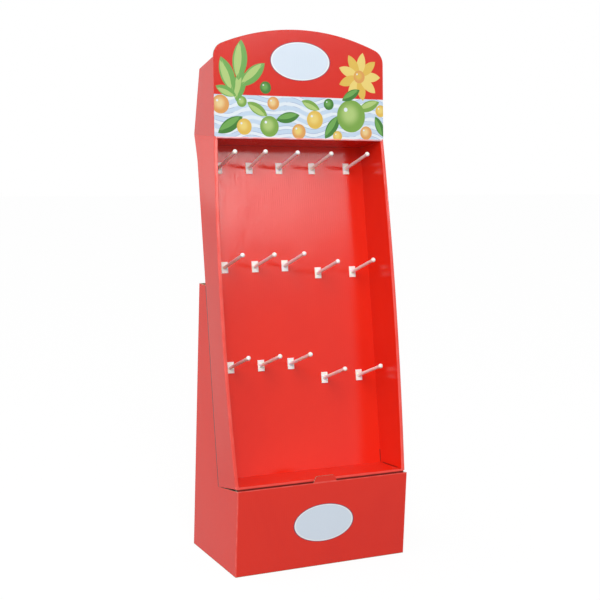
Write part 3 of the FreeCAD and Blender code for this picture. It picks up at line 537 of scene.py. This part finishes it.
# The print is a plain wave pattern with beads and leaves, then a sprig and a bloom on the red.
sway = (x * 52).sine() * 0.0055 + (x * 21 + 0.8).sine() * 0.0075 + place.noise(11) * 0.012
waves = ((up + sway) * 300).sine()
water = waves.fade(-0.5, 0.7).blend(BAND_BLUE, BAND_WHITE)
crest = abs(waves - 0.1).fade(0.22, 0.08) & place.noise(19, detail=4).fade(0.46, 0.54)
water = (crest * 0.8).blend(water, BAND_SHADE)
art = (up < BAND_TOP).blend(colour, water)
band_art = art
for centre, length, angle, ink, pale in (
        ((-0.205, 0.030), 0.082, 0.55, LEAF, LEAF_PALE),
        ((-0.128, 0.072), 0.066, 2.60, LIME, LIME_PALE),
        ((-0.040, 0.052), 0.070, 0.20, LEAF, LEAF_PALE),
        ((0.028, 0.086), 0.058, 2.75, LIME, LIME_PALE),
        ((0.092, 0.030), 0.076, 0.95, LEAF, LEAF_PALE),
        ((0.205, 0.088), 0.070, 0.35, LIME, LIME_PALE),
        ((0.238, 0.034), 0.060, 2.00, LEAF, LEAF_PALE)):
    art = leaf(art, x, up, centre, length, angle, ink, pale)
for centre, radius, ink, pale in (
        ((-0.232, 0.082), 0.024, ORANGE, CREAM),
        ((-0.166, 0.026), 0.021, YELLOW, YELLOW_PALE),
        ((-0.172, 0.090), 0.014, LIME, LIME_PALE),
        ((-0.094, 0.028), 0.027, LIME, LIME_PALE),
        ((-0.082, 0.088), 0.017, ORANGE, CREAM),
        ((-0.008, 0.016), 0.020, ORANGE, YELLOW_PALE),
        ((0.040, 0.048), 0.024, YELLOW, YELLOW_PALE),
        ((0.082, 0.090), 0.015, LEAF, LEAF_PALE),
        ((0.150, 0.060), 0.043, LIME, LIME_PALE),
        ((0.196, 0.016), 0.018, ORANGE, CREAM),
        ((0.108, 0.006), 0.014, YELLOW, YELLOW_PALE),
        ((0.242, 0.076), 0.016, YELLOW, YELLOW_PALE)):
    art = bead(art, x, up, centre, radius, ink, pale)
art = (up < BAND_TOP).blend(band_art, art)
for centre, length, angle in (((-0.178, 0.132), 0.086, 1.35), ((-0.212, 0.158), 0.096, 1.95),
                              ((-0.140, 0.160), 0.092, 0.72), ((-0.176, 0.196), 0.104, 1.48),
                              ((-0.216, 0.116), 0.062, 2.75)):
    art = leaf(art, x, up, centre, length, angle, LEAF_PALE, LIME_PALE)
for count in range(PETALS):
    angle = count * 2 * math.pi / PETALS
    centre = (BLOOM[0] + BLOOM_REACH * math.cos(angle), BLOOM[1] + BLOOM_REACH * math.sin(angle))
    art = petal(art, x, up, centre, 0.062, 0.026, angle, YELLOW if count % 2 else YELLOW_PALE)
art = bead(art, x, up, BLOOM, 0.017, ORANGE, YELLOW)
art = leaf(art, x, up, (0.150, 0.116), 0.062, 0.50, LEAF, LEAF_PALE)
art = bead(art, x, up, (-0.104, 0.128), 0.016, LEAF, LEAF_PALE)
art = label(art, x, up, HEADER_LABEL)
red = on_front.blend(colour, art)

outside = (abs(x) > HALF_WIDTH - 0.0005) & (abs(nx) > 0.5)
tray_depth, tray_rise = tray_axes(y, z)
ceiling_under = (tray_rise < 0.8975) & (tray_depth < TRAY_DEPTH) & (nz < 0)
brow = (z < BROW.z + NEAR) & (ny < 0) & (tray_depth < 0.003)
printed = on_front | outside | ceiling_under | brow
arch_cut = (abs(facing_back) < 0.5) & (back < BOARD + 0.0005) & (z > BROW.z + 0.2)
wing_cut = (abs(x) > HALF_WIDTH - BOARD - 0.0001) & (abs(nx) < 0.5) & (back > BOARD)
cut = arch_cut | wing_cut
printed = printed & (1 - cut)
# Painted highlight: a lighter pink along the fold at the card's foot stands in for light on the rounded
# fold, mixed with worn print.
fold_low = tray_rise.fade(0.9000, 0.8985) & (tray_depth < 0.004)
wear_and_highlight = place.noise(42, detail=4).fade(0.25, 0.75)
red = (fold_low * (0.45 + wear_and_highlight * 0.4)).blend(red, FOLD_WEAR_AND_HIGHLIGHT)
board = printed.blend(plain_colour, red)
run = x * arch_cut + z * (1 - arch_cut)
through = (back - BOARD / 2) * arch_cut + (abs(x) - (HALF_WIDTH - BOARD / 2)) * (1 - arch_cut)
board = cut.blend(board, cut_edge(run, through))
height = height * printed + plain_height * (1 - printed)
finish_board(shader, place, board, roughness, height, printed)
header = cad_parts["header"]
header.data.materials.clear()
header.data.materials.append(header_skin)


# Hooks: fifteen pegs moulded in milky plastic. Each has a flat plate on the panel, a rising round
# arm with a ball tip, and a stem through the slot with a claw behind.
PLATE = (0.019, 0.0025, 0.030)
PLATE_ROUND = 0.0007
LOCK_ROUND = 0.0004
ARM_RISE = math.radians(10.6)
ARM_RADIUS = 0.0043
ARM_LENGTH = 0.127
ARM_SIDES = 20
ROOT_FLARE = ((0.0016, 0), (0.0010, 0.0022), (0.0002, 0.0045), (0, 0.008))
NECK_FLARE = ((0, -0.002), (0.0005, 0.0004))
TIP_RADIUS = 0.00625
TIP_RINGS = 8
STEM = (0.008, 0.012)
CLAW = (0.0025, 0.009)
PLAY = 0.0002
BENT = {"hook_1_1": (1.6, 1.0), "hook_1_2": (2.4, 1.6), "hook_1_3": (0, 0.8), "hook_1_5": (-1.2, 0),
        "hook_2_2": (-0.8, -0.4), "hook_2_4": (0.6, -0.5), "hook_3_1": (0.5, 0.4), "hook_3_5": (-0.7, 0.3)}


def rounded_block(low, high, radius):
    """A block between two corners with softly rounded edges."""
    block = bmesh.new()
    bmesh.ops.create_cube(block, size=1)
    size = Vector(high) - Vector(low)
    bmesh.ops.scale(block, vec=size, verts=block.verts)
    bmesh.ops.translate(block, vec=(Vector(low) + Vector(high)) / 2, verts=block.verts)
    bmesh.ops.bevel(block, geom=block.edges, offset=radius, segments=2, profile=0.5,
                    affect="EDGES", material=-1)
    return block


def hook_mesh(sway, lift):
    """One hook in the tray's axes, with its origin on the panel's face behind the plate's middle.

    Its arm is turned a little to the side and up, by two angles in degrees.
    """
    hook = bmesh.new()
    half = PLATE[0] / 2
    parts = [rounded_block((-half, -PLATE[1] - PLAY, -PLATE[2] / 2),
                           (half, -PLAY, PLATE[2] / 2), PLATE_ROUND)]
    claw_face = BOARD + PLAY
    parts.append(rounded_block((-STEM[0] / 2, -PLATE[1] / 2, -STEM[1] / 2),
                               (STEM[0] / 2, claw_face + 0.0005, STEM[1] / 2), LOCK_ROUND))
    parts.append(rounded_block((-STEM[0] / 2, claw_face, -STEM[1] / 2),
                               (STEM[0] / 2, claw_face + CLAW[0], STEM[1] / 2 + CLAW[1]), LOCK_ROUND))

    arm = bmesh.new()
    neck = ARM_LENGTH - 2 * TIP_RADIUS
    profile = [(0, 0)] + [(ARM_RADIUS + out, along) for out, along in ROOT_FLARE]
    profile += [(ARM_RADIUS + out, neck + along) for out, along in NECK_FLARE]
    for ring in range(2, TIP_RINGS + 1):
        angle = math.pi * ring / TIP_RINGS
        profile.append((TIP_RADIUS * math.sin(angle), neck + TIP_RADIUS * (1 - math.cos(angle))))
    verts = [arm.verts.new((radius, 0, along)) for radius, along in profile]
    edges = [arm.edges.new(pair) for pair in zip(verts, verts[1:])]
    bmesh.ops.spin(arm, geom=verts + edges, cent=(0, 0, 0), axis=(0, 0, 1), angle=2 * math.pi,
                   steps=ARM_SIDES, use_merge=True, use_duplicate=False)
    bmesh.ops.remove_doubles(arm, verts=arm.verts, dist=0.00001)
    bmesh.ops.recalc_face_normals(arm, faces=arm.faces)
    for face in arm.faces:
        face.smooth = True
    bmesh.ops.rotate(arm, cent=(0, 0, 0), verts=arm.verts,
                     matrix=Matrix.Rotation(math.pi / 2 - ARM_RISE - math.radians(lift), 3, "X"))
    bmesh.ops.rotate(arm, cent=(0, 0, 0), verts=arm.verts,
                     matrix=Matrix.Rotation(math.radians(-sway), 3, "Z"))
    bmesh.ops.translate(arm, vec=(0, -PLATE[1] / 2 - PLAY, 0), verts=arm.verts)
    parts.append(arm)
    for part in parts:
        piece = bpy.data.meshes.new("piece")
        part.to_mesh(piece)
        part.free()
        hook.from_mesh(piece)
        bpy.data.meshes.remove(piece)
    bmesh.ops.rotate(hook, cent=(0, 0, 0), verts=hook.verts, matrix=Matrix.Rotation(-LEAN, 3, "X"))
    return hook


milky, shader, place, _ = surface("milky_plastic")
clouds = place.noise(60, detail=2)
tone = clouds.fade(0.3, 0.8).blend((0.92, 0.89, 0.86, 1), (0.87, 0.83, 0.80, 1))
feed(shader, Base_Color=tone, Roughness=0.30, Subsurface_Weight=0.35, Subsurface_Scale=0.004,
     Specular_IOR_Level=0.5, Normal=place.relief(place.noise(300) * 0.00002))

for name in [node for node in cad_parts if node.startswith("hook_")]:
    low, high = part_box(name)
    form = hook_mesh(*BENT.get(name, (0, 0)))
    behind = max(vert.co.y for vert in form.verts)
    beneath = min(vert.co.z for vert in form.verts)
    middle = (low.x + high.x) / 2
    bmesh.ops.translate(form, vec=(middle, high.y - behind, low.z - beneath), verts=form.verts)
    hook = bpy.data.objects.new(f"{name}_moulded", bpy.data.meshes.new(f"{name}_moulded"))
    form.to_mesh(hook.data)
    form.free()
    hook.data.materials.append(milky)
    bpy.context.scene.collection.objects.link(hook)
    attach(hook, "root")
    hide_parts(name)
